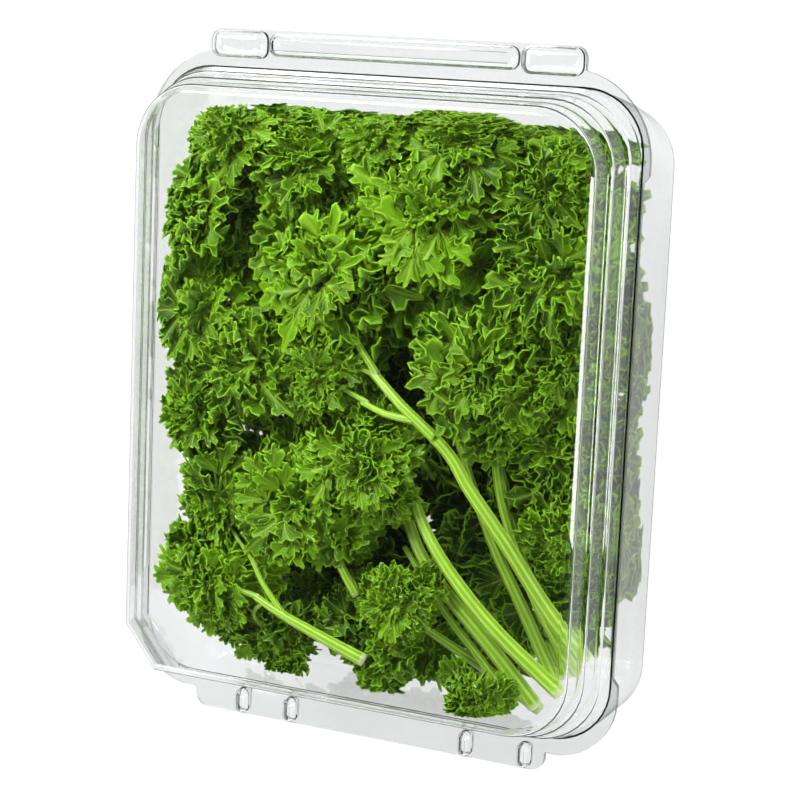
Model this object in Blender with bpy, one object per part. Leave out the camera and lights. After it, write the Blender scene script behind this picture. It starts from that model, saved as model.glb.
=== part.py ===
"""A bunch of curly parsley lying in a clear hinged clamshell.

Metres, +Z up. The clamshell lies on its floor at Z = 0, its hinge along the
+Y end and its closing tab along the -Y end. The origin is under the middle of
the box around the closed pack.
"""
import math

import bmesh
import bpy
from mathutils import Vector

MM = 0.001

# Driving dimensions, in millimetres.
SHEET = 0.6              # thickness of the formed sheet
PARTING_Z = 30.0         # where the two flanges meet
FLANGE_GAP = 0.3         # between the two flanges when the pack is shut
PANEL_Z = 52.0           # top of the lid
HINGE_Y = 100.2          # fold line, past the flange
TAB_Y = -99.9            # edge of the closing tab
FLANGE_HALF = 74.6       # half width of the flange along its sides
FIN_HALF = 76.2          # half width at the four corner fins
FLANGE_BACK = 94.0
FLANGE_FRONT = -94.4
FIN_RADIUS_BACK = 24.0
FIN_RADIUS_FRONT = 18.0
HINGE_HALF = 57.0        # half length of the hinge strip
PRESSING_RISE = 2.6      # height of the beads and snap buttons
TAB_HALF = 56.0          # half length of the closing tab
TAB_RADIUS = 4.0         # its corners
FIN_STEP_BACK = (67.0, 65.0)     # Y where each fin ends and the straight flange starts
FIN_STEP_LEFT = (-62.0, -60.0)
FIN_STEP_RIGHT = (-72.0, -70.0)
CHAMFER_RUN = 0.8        # how far the cut corner runs along X, of its length along Y
PRESSING_ANGLES = (0, 35, 75)    # up the half-round side of a pressing, in degrees
PRESSING_PULL = 0.7      # how far its side pulls in towards the crown
PRESSING_ROUND = 0.97    # corner radius, of its half width
CLEARANCE = 0.4          # between the pieces of the bunch
WALL_CLEARANCE = 1.2     # between the bunch and the sheet
STEM_TAPER = 0.62        # radius at the leaf end, of that at the cut end
BRANCH_START = 0.55      # radius of a side branch at its two ends, of the same
BRANCH_END = 0.4
BUNCH_END_Y = 82.0       # the leaves stop here at both ends
BUNCH_FLOOR_Y = 82.5     # and here at the back of the floor, where the wall leans in
BACK_LEAN = 0.27         # of the back wall, as a slope
CORNER_TRIM = 9.0        # how far the leaves stay out of each corner
HEAD_SIZE = 0.98         # of the head's radius, before its lumps
LUMP_SIZE = 0.07
SMALLEST_SHARE = 0.2     # of the way to a neighbour, where two heads may meet
STEM_REACH = 4.0         # a stem this far outside a head doesn't trim it

CORNER_STEPS = 6
PRESSING_STEPS = 2
STEM_SIDES = 8
STEM_SPAN_STEPS = 3
HEAD_SUBDIVISIONS = 2


def remove_everything():
    for obj in list(bpy.data.objects):
        bpy.data.objects.remove(obj, do_unlink=True)


def make_material(name, rgb, roughness, alpha=1.0):
    material = bpy.data.materials.new(name)
    material.use_nodes = True
    shader = material.node_tree.nodes["Principled BSDF"]
    shader.inputs["Base Color"].default_value = (*rgb, 1.0)
    shader.inputs["Roughness"].default_value = roughness
    shader.inputs["Metallic"].default_value = 0.0
    shader.inputs["Alpha"].default_value = alpha
    return material


def add_object(name, bm, material):
    """Turns a bmesh in millimetres into a named object in metres."""
    bmesh.ops.recalc_face_normals(bm, faces=bm.faces)
    bmesh.ops.scale(bm, vec=(MM, MM, MM), verts=bm.verts)
    mesh = bpy.data.meshes.new(name)
    bm.to_mesh(mesh)
    bm.free()
    mesh.materials.append(material)
    obj = bpy.data.objects.new(name, mesh)
    bpy.context.scene.collection.objects.link(obj)
    return obj


def apply_boolean(target, tool, operation):
    modifier = target.modifiers.new(operation.lower(), "BOOLEAN")
    modifier.operation = operation
    modifier.solver = "EXACT"
    modifier.object = tool
    depsgraph = bpy.context.evaluated_depsgraph_get()
    mesh = bpy.data.meshes.new_from_object(target.evaluated_get(depsgraph))
    target.modifiers.remove(modifier)
    target.data = mesh
    bpy.data.objects.remove(tool, do_unlink=True)


# ---------------------------------------------------------------- clamshell

def rounded_outline(half_x, front, back, radius, chamfer=0.0, steps=CORNER_STEPS):
    """Points of a rounded rectangle, anticlockwise from its +X +Y corner.

    A chamfer above zero cuts the -X -Y corner off straight by that length.
    """
    points = []
    for quarter in range(4):
        side_x = 1 if quarter in (0, 3) else -1
        side_y = 1 if quarter in (0, 1) else -1
        x = side_x * half_x
        y = back if side_y > 0 else front
        for step in range(steps + 1):
            along = step / steps
            if quarter == 2 and chamfer > 0:
                points.append((x + CHAMFER_RUN * chamfer * along, y + chamfer * (1 - along)))
                continue
            angle = math.radians(90 * (quarter + along))
            points.append((x + radius * (math.cos(angle) - side_x),
                           y + radius * (math.sin(angle) - side_y)))
    return points


def flange_outline():
    """The flange's edge, with corner fins, the hinge strip and the tab."""
    edge = []

    def arc(cx, cy, radius, start, sweep=90):
        for step in range(CORNER_STEPS + 1):
            angle = math.radians(start + sweep * step / CORNER_STEPS)
            edge.append((cx + radius * math.cos(angle), cy + radius * math.sin(angle)))

    rb, rf = FIN_RADIUS_BACK, FIN_RADIUS_FRONT
    to_strip = math.degrees(math.acos((HINGE_HALF - FIN_HALF + rb) / rb))
    edge.append((FIN_HALF, FIN_STEP_BACK[0]))
    arc(FIN_HALF - rb, FLANGE_BACK - rb, rb, 0, to_strip)
    edge.append((HINGE_HALF, HINGE_Y - FLANGE_GAP))
    edge.append((-HINGE_HALF, HINGE_Y - FLANGE_GAP))
    arc(-FIN_HALF + rb, FLANGE_BACK - rb, rb, 180 - to_strip, to_strip)
    edge.append((-FIN_HALF, FIN_STEP_BACK[0]))
    edge.append((-FLANGE_HALF, FIN_STEP_BACK[1]))
    edge.append((-FLANGE_HALF, FIN_STEP_LEFT[1]))
    edge.append((-FIN_HALF, FIN_STEP_LEFT[0]))
    arc(-FIN_HALF + rf, FLANGE_FRONT + rf, rf, 180)
    edge.append((-TAB_HALF, FLANGE_FRONT))
    arc(-TAB_HALF + TAB_RADIUS, TAB_Y + TAB_RADIUS, TAB_RADIUS, 180)
    arc(TAB_HALF - TAB_RADIUS, TAB_Y + TAB_RADIUS, TAB_RADIUS, 270)
    edge.append((TAB_HALF, FLANGE_FRONT))
    arc(FIN_HALF - rf, FLANGE_FRONT + rf, rf, 270)
    edge.append((FIN_HALF, FIN_STEP_RIGHT[0]))
    edge.append((FLANGE_HALF, FIN_STEP_RIGHT[1]))
    edge.append((FLANGE_HALF, FIN_STEP_BACK[1]))
    clean = []
    for point in edge:
        if not clean or math.dist(point, clean[-1]) > 0.05:
            clean.append(point)
    return clean


# The hinge strip's two beads and the tab's four snap buttons, the same on
# both halves: (centre x, centre y, half length, half width).
BEADS = (
    (0.0, 96.3, 53.0, 1.9),
    (0.0, 91.9, 34.0, 1.6),
    (-45.0, 91.9, 7.5, 1.6),
    (45.0, 91.9, 7.5, 1.6),
)
BUTTONS = tuple((x, -96.0, 1.7, 3.4) for x in (-40.0, -24.0, 32.0, 50.0))


def pressing_levels(x, y, half_x, half_y, foot_z, rise):
    """Outlines of a half-round pressing, from its foot to its crown."""
    narrow = min(half_x, half_y)
    outlines = []
    for angle in PRESSING_ANGLES:
        inset = narrow * PRESSING_PULL * (1 - math.cos(math.radians(angle)))
        z = foot_z + rise * math.sin(math.radians(angle))
        outline = rounded_outline(half_x - inset, y - half_y + inset, y + half_y - inset,
                                  (narrow - inset) * PRESSING_ROUND,
                                  steps=PRESSING_STEPS)
        outlines.append([(px + x, py, z) for px, py in outline])
    return outlines


def cup_levels(levels, foot_z):
    """Outlines of the deep cup, from the flange to its closed end."""
    outlines = []
    for half_x, front, back, radius, z, chamfer in levels:
        z = foot_z if z == PARTING_Z else z
        outline = rounded_outline(half_x, front, back, radius, chamfer)
        outlines.append([(px, py, z) for px, py in outline])
    return outlines


def make_shell(name, levels, side, material):
    """One half of the clamshell, formed from a single sheet.

    side is +1 for the lid, whose cup and pressings stand up, and -1 for the
    base. The flange is filled between its edge and the foot of every pressing,
    each pressing is lofted from its foot, and the sheet then gets its thickness.
    """
    sheet_z = PARTING_Z + side * (FLANGE_GAP + SHEET) / 2
    pressings = [cup_levels(levels, sheet_z)]
    for x, y, half_x, half_y in BEADS + BUTTONS:
        pressings.append(pressing_levels(x, y, half_x, half_y, sheet_z, side * PRESSING_RISE))

    bm = bmesh.new()
    flange_edges = []

    def add_ring(points):
        return [bm.verts.new(point) for point in points]

    feet = [add_ring([(x, y, sheet_z) for x, y in flange_outline()])]
    feet += [add_ring(outlines[0]) for outlines in pressings]
    for ring in feet:
        for i, vert in enumerate(ring):
            flange_edges.append(bm.edges.new((vert, ring[(i + 1) % len(ring)])))
    bmesh.ops.triangle_fill(bm, edges=flange_edges, use_beauty=True)
    for lower, outlines in zip(feet[1:], pressings):
        for points in outlines[1:]:
            upper = add_ring(points)
            for i in range(len(lower)):
                j = (i + 1) % len(lower)
                bm.faces.new((lower[i], lower[j], upper[j], upper[i]))
            lower = upper
        bm.faces.new(lower)
    shell = add_object(name, bm, material)
    thickness = shell.modifiers.new("sheet", "SOLIDIFY")
    thickness.thickness = SHEET * MM
    thickness.offset = 0.0
    thickness.use_even_offset = True
    thickness.thickness_clamp = 0.0
    return shell


# (half width, front, back, corner radius, height, chamfer), rim to closed end
LID_LEVELS = (
    (73.6, -89.8, 88.6, 19.0, PARTING_Z, 15.0),
    (72.6, -88.6, 87.6, 18.5, 36.0, 14.5),
    (71.4, -87.4, 86.8, 18.5, 36.8, 14.0),
    (70.6, -86.4, 86.0, 18.0, 43.0, 13.5),
    (69.2, -85.2, 84.8, 18.0, 43.8, 13.0),
    (68.6, -84.6, 84.2, 17.5, 50.2, 12.5),
    (66.8, -82.8, 82.4, 16.0, PANEL_Z - SHEET / 2, 11.5),
)
BASE_LEVELS = (
    (73.8, -90.0, 89.0, 17.0, PARTING_Z, 0.0),
    (74.0, -89.6, 86.6, 16.5, 16.0, 0.0),
    (74.2, -89.0, 84.0, 16.0, 5.0, 0.0),
    (73.0, -87.6, 82.6, 14.6, 1.6, 0.0),
    (69.6, -84.2, 79.2, 11.2, SHEET / 2, 0.0),
)


# -------------------------------------------------------------------- stems

# Each sprig's stem: its radius at the cut end and the points it passes, from
# the cut end up to the leaves. A second list is a side branch that forks off.
STEMS = (
    ("stem_01", 2.1, [(51, -83, 26), (40, -68, 31), (20, -47, 33), (10, -33, 29), (2, -18, 25)], []),
    ("stem_02", 2.0, [(61, -76, 33), (41, -58, 38), (24, -40, 38), (13, -25, 33), (6, -12, 27)], []),
    ("stem_03", 2.1, [(65, -67, 27), (55, -52, 33), (45, -34, 40), (35, -20, 43), (28, -10, 44),
                      (14, 1, 44), (3, 9, 41)],
     [[(20, -3, 44), (10, -2, 44.5), (1, 0, 42)]]),
    ("stem_04", 1.9, [(61, -73, 21), (51, -54, 26.5), (44, -38, 29), (38, -22, 29), (35, -8, 27)], []),
    ("stem_05", 1.8, [(53, -80, 15), (43, -58, 19), (34, -40, 21.5), (27, -24, 22), (21, -9, 22)], []),
    ("stem_06", 1.6, [(53, -79, 8.5), (46, -62, 11), (37, -36, 14), (31, -14, 16), (27, 4, 18)], []),
    ("stem_07", 1.7, [(50, -86, 19.5), (37, -76, 25), (25, -68, 30), (15, -62, 33)], []),
    ("stem_08", 1.3, [(45, -84, 26.5), (35, -71, 29.5), (23, -58, 30.5), (9, -43, 27)], []),
    ("stem_09", 1.9, [(58, -70, 11), (53, -50, 16), (47, -30, 22), (48, -12, 25), (52, 8, 25.5),
                      (50, 26, 25)], []),
    ("stem_10", 1.7, [(4, -74, 40), (-8, -69, 42), (-20, -64, 43.5), (-30, -60, 43)],
     [[(-20, -64, 43.5), (-27, -56, 43.5), (-31, -50, 43)]]),
    ("stem_11", 1.4, [(0, -56, 38), (-5, -48, 39), (-9, -40, 38)], []),
    ("stem_12", 1.7, [(46, -72, 4.5), (22, -40, 8), (2, -6, 23), (-12, 20, 25), (-20, 44, 25)], []),
    ("stem_13", 1.6, [(40, -78, 3.6), (12, -50, 6.5), (-16, -24, 22), (-36, 6, 25), (-44, 30, 25)], []),
    ("stem_14", 1.6, [(60, -58, 4.2), (38, -20, 8.5), (26, 20, 23.5), (26, 48, 25)], []),
)


def smooth_route(points, per_span=STEM_SPAN_STEPS):
    """Points along a Catmull-Rom curve through the route's own points."""
    route = [Vector(p) for p in points]
    route = [2 * route[0] - route[1]] + route + [2 * route[-1] - route[-2]]
    smooth = []
    for a, b, c, d in zip(route, route[1:], route[2:], route[3:]):
        for step in range(per_span):
            t = step / per_span
            smooth.append(0.5 * (2 * b + (c - a) * t + (2 * a - 5 * b + 4 * c - d) * t ** 2
                                 + (3 * b - a - 3 * c + d) * t ** 3))
    smooth.append(route[-2])
    return smooth


def stem_tube(centres, start_radius, end_radius):
    """A tapering tube with flat ends along the given centre points."""
    bm = bmesh.new()
    rings = []
    side = None
    for i, centre in enumerate(centres):
        ahead = centres[min(i + 1, len(centres) - 1)]
        behind = centres[max(i - 1, 0)]
        along = (ahead - behind).normalized()
        if side is None:
            side = along.cross(Vector((0, 0, 1))).normalized()
        side = (side - along * side.dot(along)).normalized()
        up = side.cross(along)
        radius = start_radius + (end_radius - start_radius) * i / (len(centres) - 1)
        ring = []
        for k in range(STEM_SIDES):
            angle = 2 * math.pi * k / STEM_SIDES
            offset = side * math.cos(angle) + up * math.sin(angle)
            ring.append(bm.verts.new(centre + offset * radius))
        rings.append(ring)
    for lower, upper in zip(rings, rings[1:]):
        for k in range(STEM_SIDES):
            j = (k + 1) % STEM_SIDES
            bm.faces.new((lower[k], lower[j], upper[j], upper[k]))
    bm.faces.new(rings[0])
    bm.faces.new(rings[-1])
    return bm


def make_stem(name, radius, route, branches, material):
    stem = add_object(name, stem_tube(smooth_route(route), radius, radius * STEM_TAPER), material)
    for branch in branches:
        tube = stem_tube(smooth_route(branch), radius * BRANCH_START, radius * BRANCH_END)
        apply_boolean(stem, add_object(name + "_branch", tube, material), "UNION")
    return stem


# ------------------------------------------------------------- leaf clusters

# Heads of curled leaves: (x, y, z, radius, flatness). The upper ones lie
# under the lid, the lower ones on the floor of the base.
CLUSTERS = (
    (-42, 70, 38, 15, 0.75), (-20, 66, 36, 17, 0.75), (2, 72, 36, 13, 0.75),
    (28, 74, 36, 16, 0.75), (51, 64, 34, 17, 0.75), (-54, 46, 35, 16, 0.75),
    (19, 54, 39, 21, 0.6), (53, 41, 35, 17, 0.75), (-12, 36, 39, 22, 0.6),
    (-53, 20, 34, 18, 0.75), (-36, 6, 37, 16, 0.75), (36, 12, 40, 19, 0.6),
    (58, 14, 33, 14, 0.8), (-53, -10, 34, 15, 0.8), (-46, -34, 35, 16, 0.75),
    (-18, -32, 39, 17, 0.65), (-12, 6, 40, 13, 0.75), (2, -18, 40, 16, 0.6),
    (-46, -58, 38, 16, 0.7), (-28, -72, 30, 14, 0.8), (0, -68, 27, 15, 0.8),
    (14, -56, 40, 11, 0.8), (60, -32, 30, 13, 0.8), (38, -80, 38, 9, 0.8),
    (-52, 58, 13, 22, 0.6), (-12, 60, 12, 26, 0.5), (36, 60, 12, 26, 0.5),
    (-50, 8, 12, 24, 0.5), (-8, 16, 12, 24, 0.5), (50, 12, 11, 22, 0.5),
    (-46, -48, 13, 24, 0.6), (-12, -62, 13, 20, 0.6), (14, -14, 13, 18, 0.55),
    (60, -36, 12, 14, 0.8),
)


def bunch_planes():
    """Flat limits that keep the bunch clear of the clamshell's inner skin."""
    limit_x = BASE_LEVELS[2][0] - SHEET - WALL_CLEARANCE - 1.5
    lid_x = LID_LEVELS[5][0] - SHEET - WALL_CLEARANCE
    planes = []
    for sign in (1, -1):
        planes.append((Vector((sign * limit_x, 0, 0)), Vector((sign, 0, 0))))
        slope = Vector((sign, 0, (limit_x - lid_x) / (PANEL_Z - PARTING_Z))).normalized()
        planes.append((Vector((sign * lid_x, 0, 50)), slope))
    back = Vector((0, 1, -BACK_LEAN)).normalized()
    planes.append((Vector((0, BUNCH_FLOOR_Y, 3.5)), back))
    planes.append((Vector((0, BUNCH_END_Y, 50)), Vector((0, 1, 0))))
    planes.append((Vector((0, -BUNCH_END_Y, 50)), Vector((0, -1, 0.05)).normalized()))
    planes.append((Vector((0, 0, PANEL_Z - SHEET - WALL_CLEARANCE - 0.6)), Vector((0, 0, 1))))
    planes.append((Vector((0, 0, SHEET + 0.7)), Vector((0, 0, -1))))
    for sign in (1, -1):
        for end in (1, -1):
            out = Vector((sign, end, 0)).normalized()
            planes.append((Vector((sign * (lid_x - CORNER_TRIM), end * BUNCH_END_Y, 0)), out))
    return planes


def neighbour_planes(index, spheres):
    """Flat limits half way to each neighbouring head, where the two press."""
    centre, radius = spheres[index]
    planes = []
    for other, (there, reach) in enumerate(spheres):
        if other == index:
            continue
        between = there - centre
        distance = between.length
        if distance > 3 * (radius + reach):
            continue
        along = (distance ** 2 + radius ** 2 - reach ** 2) / (2 * distance)
        along = min(max(along, distance * SMALLEST_SHARE), distance * (1 - SMALLEST_SHARE))
        out = between.normalized()
        planes.append((centre + out * (along - CLEARANCE / 2), out))
    return planes


def stem_planes(centre, reach, stem_points):
    """Flat limits that keep a head clear of every stem passing it."""
    planes = []
    for point, radius in stem_points:
        between = point - centre
        if between.length > reach + radius + STEM_REACH:
            continue
        out = between.normalized()
        planes.append((point - out * (radius + CLEARANCE), out))
    return planes


def make_cluster(index, spheres, flatness, stem_points, material):
    """A lumpy closed head, trimmed flat where it meets its neighbours."""
    centre, radius = spheres[index]
    planes = bunch_planes() + neighbour_planes(index, spheres)
    planes += stem_planes(centre, radius * 1.2, stem_points)
    bm = bmesh.new()
    bmesh.ops.create_icosphere(bm, subdivisions=HEAD_SUBDIVISIONS, radius=1.0)
    for vert in bm.verts:
        direction = vert.co.normalized()
        lumps = (math.sin(5 * direction.x + index) * math.sin(5 * direction.y + 2 * index)
                 + math.sin(7 * direction.z + 3 * index))
        reach = radius * (HEAD_SIZE + LUMP_SIZE * lumps)
        out = Vector((direction.x, direction.y, direction.z * flatness)) * reach
        length = out.length
        heading = out / length
        for point, normal in planes:
            facing = heading.dot(normal)
            if facing > 1e-6:
                length = min(length, (point - centre).dot(normal) / facing)
        vert.co = centre + heading * length
    return add_object(f"leaf_head_{index + 1:02d}", bm, material)


def build():
    remove_everything()
    clear = make_material("clear_pet", (0.93, 0.95, 0.95), 0.05, alpha=0.3)
    stem_green = make_material("parsley_stem", (0.33, 0.52, 0.07), 0.45)
    leaf_green = make_material("parsley_leaf", (0.06, 0.25, 0.02), 0.5)

    make_shell("clamshell_base", BASE_LEVELS, -1, clear)
    lid = make_shell("clamshell_lid", LID_LEVELS, 1, clear)
    hinge = bpy.data.objects.new("lid_hinge", None)
    hinge.location = (0, HINGE_Y * MM, PARTING_Z * MM)
    bpy.context.scene.collection.objects.link(hinge)
    lid.data.transform(hinge.matrix_basis.inverted())
    lid.parent = hinge

    stem_points = []
    for name, radius, route, branches in STEMS:
        make_stem(name, radius, route, branches, stem_green)
        for line in [route] + branches:
            for point in smooth_route(line, per_span=8):
                stem_points.append((point, radius))

    spheres = [(Vector((x, y, z)), r) for x, y, z, r, _ in CLUSTERS]
    for index, (_, _, _, _, flatness) in enumerate(CLUSTERS):
        make_cluster(index, spheres, flatness, stem_points, leaf_green)


build()
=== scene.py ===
# A bunch of curly parsley lying in a clear hinged clamshell, with its cut stems
# towards one corner. The hinge is along the +Y end and the closing tab along
# the -Y end. Metres, +Z up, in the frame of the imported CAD.
import math
import random

import bmesh
import bpy
import numpy as np
from mathutils import Matrix, Vector


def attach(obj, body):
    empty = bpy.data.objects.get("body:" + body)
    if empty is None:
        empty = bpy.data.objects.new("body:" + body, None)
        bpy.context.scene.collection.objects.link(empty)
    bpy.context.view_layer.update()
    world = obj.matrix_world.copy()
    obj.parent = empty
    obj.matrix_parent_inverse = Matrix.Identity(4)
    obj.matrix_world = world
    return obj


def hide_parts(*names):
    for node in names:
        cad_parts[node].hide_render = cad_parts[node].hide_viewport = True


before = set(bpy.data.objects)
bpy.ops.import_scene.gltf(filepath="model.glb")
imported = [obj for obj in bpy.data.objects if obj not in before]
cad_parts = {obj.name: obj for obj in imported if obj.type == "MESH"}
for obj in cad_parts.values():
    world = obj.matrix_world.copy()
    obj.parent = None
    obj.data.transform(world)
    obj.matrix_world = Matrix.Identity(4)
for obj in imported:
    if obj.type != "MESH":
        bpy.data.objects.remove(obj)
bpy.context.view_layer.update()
bpy.ops.object.select_all(action="DESELECT")


# ------------------------------------------------------------- base tray
# The base is one sheet of clear PET, thermoformed over a mould: a deep tray
# with drafted walls and round corners, a flat flange with four corner fins, a
# beaded hinge strip at the back and a tab with snap buttons at the front.

MM = 0.001
SHEET = 0.6            # thickness of the sheet, in mm, as are all sizes here
PARTING_Z = 30.0       # where the two flanges meet
FLANGE_GAP = 0.3       # air between the two flanges
HINGE_Y = 100.2        # fold line of the hinge
TAB_Y = -99.9          # edge of the closing tab
FLANGE_HALF, FIN_HALF = 74.6, 76.2
FLANGE_BACK, FLANGE_FRONT = 94.0, -94.4
FIN_RADIUS_BACK, FIN_RADIUS_FRONT = 24.0, 18.0
FIN_STEPS_Y = {"back": (67.0, 65.0), "left": (-60.0, -62.0), "right": (-70.0, -72.0)}
HINGE_HALF, STRIP_RADIUS, TAB_HALF, TAB_RADIUS = 57.0, 3.4, 56.0, 4.0
CORNER_STEPS = 10      # faces round each corner of the tray
BEND_REACH = 0.6       # how far each bend of the wall is rounded off
BEND_STEPS = 3
LARGEST_BEND = 0.46    # of the run to the next bend
RIM_STEP = 0.5         # from the foot of the wall to the flat flange
PRESSING_RISE = 2.6    # height of the beads and snap buttons
PRESSING_CORNER = 2.4  # widest corner radius of a pressing, seen from above
SMALLEST_CORNER = 0.4
PRESSING_ROUND = 0.97  # keeps a short straight between two corners
PRESSING_ANGLES = (0, 25, 50, 75)    # up the half-round side, in degrees
PRESSING_PULL = 0.7    # how far the side leans in, of the pressing's half width
CUT_RUN = 0.8          # run of the cut corner along X, of its run along Y
PANEL_INSET = 3.0      # from the last bend of the wall to the filled panel
RIB_RISE = 0.8         # height of the stiffening ribs in the floor
SMOOTH_ANGLE = math.radians(32)

# (half width, front, back, corner radius, height, corner cut), rim to floor.
TRAY_WALL = (
    (73.8, -90.0, 89.0, 17.0, 30.0, 0.0),
    (74.0, -89.6, 86.6, 16.5, 16.0, 0.0),
    (74.2, -89.0, 84.0, 16.0, 5.0, 0.0),
    (73.0, -87.6, 82.6, 14.6, 1.6, 0.0),
    (69.6, -84.2, 79.2, 11.2, 0.3, 0.0),
)
# (centre x, centre y, half length, half width, turn in degrees)
HINGE_BEADS = (
    (0.0, 95.8, 37.4, 3.0, 0), (-47.4, 95.6, 8.5, 3.6, 0), (47.4, 95.6, 8.5, 3.6, 0),
)
SNAP_BUTTONS = tuple((x, -96.0, 1.7, 3.4, 0) for x in (-40.0, -24.0, 32.0, 50.0))
FLOOR_RIBS = tuple((-44.0 + 11.0 * k, -72.0, 9.0, 0.9, 58) for k in range(9))


def colour(code):
    """Linear RGBA of an sRGB hex code."""
    parts = [int(code[i:i + 2], 16) / 255 for i in (1, 3, 5)]
    return tuple(p / 12.92 if p <= 0.04045 else ((p + 0.055) / 1.055) ** 2.4
                 for p in parts) + (1.0,)


def add_node(tree, kind, inputs=None, **settings):
    """Adds a shader node with its settings, input values and links."""
    node = tree.nodes.new("ShaderNode" + kind)
    for name, value in settings.items():
        setattr(node, name, value)
    for key, value in (inputs or {}).items():
        if isinstance(value, bpy.types.NodeSocket):
            tree.links.new(value, node.inputs[key])
        else:
            node.inputs[key].default_value = value
    return node


def new_material(name):
    """An empty node material and its tree."""
    material = bpy.data.materials.new(name)
    material.use_nodes = True
    material.node_tree.nodes.clear()
    return material, material.node_tree


def rounded_outline(half_x, front, back, radius, cut=0.0, steps=CORNER_STEPS):
    """Points of a rounded rectangle, anticlockwise from its +X +Y corner. A
    cut above zero takes the -X -Y corner off straight."""
    points = []
    for quarter in range(4):
        side_x = 1 if quarter in (0, 3) else -1
        side_y = 1 if quarter in (0, 1) else -1
        x, y = side_x * half_x, back if side_y > 0 else front
        for step in range(steps + 1):
            along = step / steps
            if quarter == 2 and cut > 0:
                points.append((x + CUT_RUN * cut * along, y + cut * (1 - along)))
                continue
            angle = math.radians(90 * (quarter + along))
            points.append((x + radius * (math.cos(angle) - side_x),
                           y + radius * (math.sin(angle) - side_y)))
    return points


def flange_outline():
    """The flange's edge, with its fins, the hinge strip and the tab."""
    edge = []

    def arc(cx, cy, radius, start, sweep=90):
        for step in range(CORNER_STEPS + 1):
            angle = math.radians(start + sweep * step / CORNER_STEPS)
            edge.append((cx + radius * math.cos(angle), cy + radius * math.sin(angle)))

    rb, rf = FIN_RADIUS_BACK, FIN_RADIUS_FRONT
    to_strip = math.degrees(math.acos((HINGE_HALF - FIN_HALF + rb) / rb))
    fin_back, side_back = FIN_STEPS_Y["back"]
    side_left, fin_left = FIN_STEPS_Y["left"]
    side_right, fin_right = FIN_STEPS_Y["right"]
    edge.append((FIN_HALF, fin_back))
    arc(FIN_HALF - rb, FLANGE_BACK - rb, rb, 0, to_strip)
    fold_y = HINGE_Y - FLANGE_GAP - STRIP_RADIUS
    arc(HINGE_HALF - STRIP_RADIUS, fold_y, STRIP_RADIUS, 0)
    arc(-HINGE_HALF + STRIP_RADIUS, fold_y, STRIP_RADIUS, 90)
    arc(-FIN_HALF + rb, FLANGE_BACK - rb, rb, 180 - to_strip, to_strip)
    edge += [(-FIN_HALF, fin_back), (-FLANGE_HALF, side_back),
             (-FLANGE_HALF, side_left), (-FIN_HALF, fin_left)]
    arc(-FIN_HALF + rf, FLANGE_FRONT + rf, rf, 180)
    edge.append((-TAB_HALF, FLANGE_FRONT))
    arc(-TAB_HALF + TAB_RADIUS, TAB_Y + TAB_RADIUS, TAB_RADIUS, 180)
    arc(TAB_HALF - TAB_RADIUS, TAB_Y + TAB_RADIUS, TAB_RADIUS, 270)
    edge.append((TAB_HALF, FLANGE_FRONT))
    arc(FIN_HALF - rf, FLANGE_FRONT + rf, rf, 270)
    edge += [(FIN_HALF, fin_right), (FLANGE_HALF, side_right), (FLANGE_HALF, side_back)]
    return [p for i, p in enumerate(edge) if math.dist(p, edge[i - 1]) > 0.05]


def wall_outlines(wall, rim_z, end_inset):
    """Outlines down the cup's wall, with every bend rounded off as a sheet
    drawn over a mould rounds it."""
    levels = [np.array(level, float) for level in wall]
    levels[0][4] = rim_z
    rim = levels[0] + (RIM_STEP, -RIM_STEP, RIM_STEP, RIM_STEP, 0, 0)
    end = levels[-1] - (end_inset, -end_inset, end_inset, end_inset * 0.8, 0, 0)
    levels = [rim] + levels + [end]
    soft = [rim]
    for before, bend, after in zip(levels, levels[1:], levels[2:]):
        reach = []
        for other in (before, after):
            length = math.hypot(other[0] - bend[0], other[4] - bend[4])
            reach.append(bend + (other - bend) * min(LARGEST_BEND, BEND_REACH / length))
        for step in range(BEND_STEPS + 1):
            t = step / BEND_STEPS
            soft.append((1 - t) ** 2 * reach[0] + 2 * t * (1 - t) * bend + t * t * reach[1])
    soft.append(end)
    return [[(x, y, level[4]) for x, y in
             rounded_outline(level[0], level[1], level[2], level[3], max(level[5], 0))]
            for level in soft]


def pressing_outlines(x, y, half_x, half_y, turn, foot_z, rise, steps=4):
    """Outlines of a half-round pressing, from its foot to its crown."""
    narrow = min(half_x, half_y)
    cosine, sine = math.cos(math.radians(turn)), math.sin(math.radians(turn))
    outlines = []
    for angle in PRESSING_ANGLES:
        inset = narrow * PRESSING_PULL * (1 - math.cos(math.radians(angle)))
        z = foot_z + rise * math.sin(math.radians(angle))
        corner = max(min(narrow, PRESSING_CORNER) - inset, SMALLEST_CORNER)
        flat = rounded_outline(half_x - inset, -half_y + inset, half_y - inset,
                               corner * PRESSING_ROUND, steps=steps)
        outlines.append([(x + px * cosine - py * sine, y + px * sine + py * cosine, z)
                         for px, py in flat])
    return outlines


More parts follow.
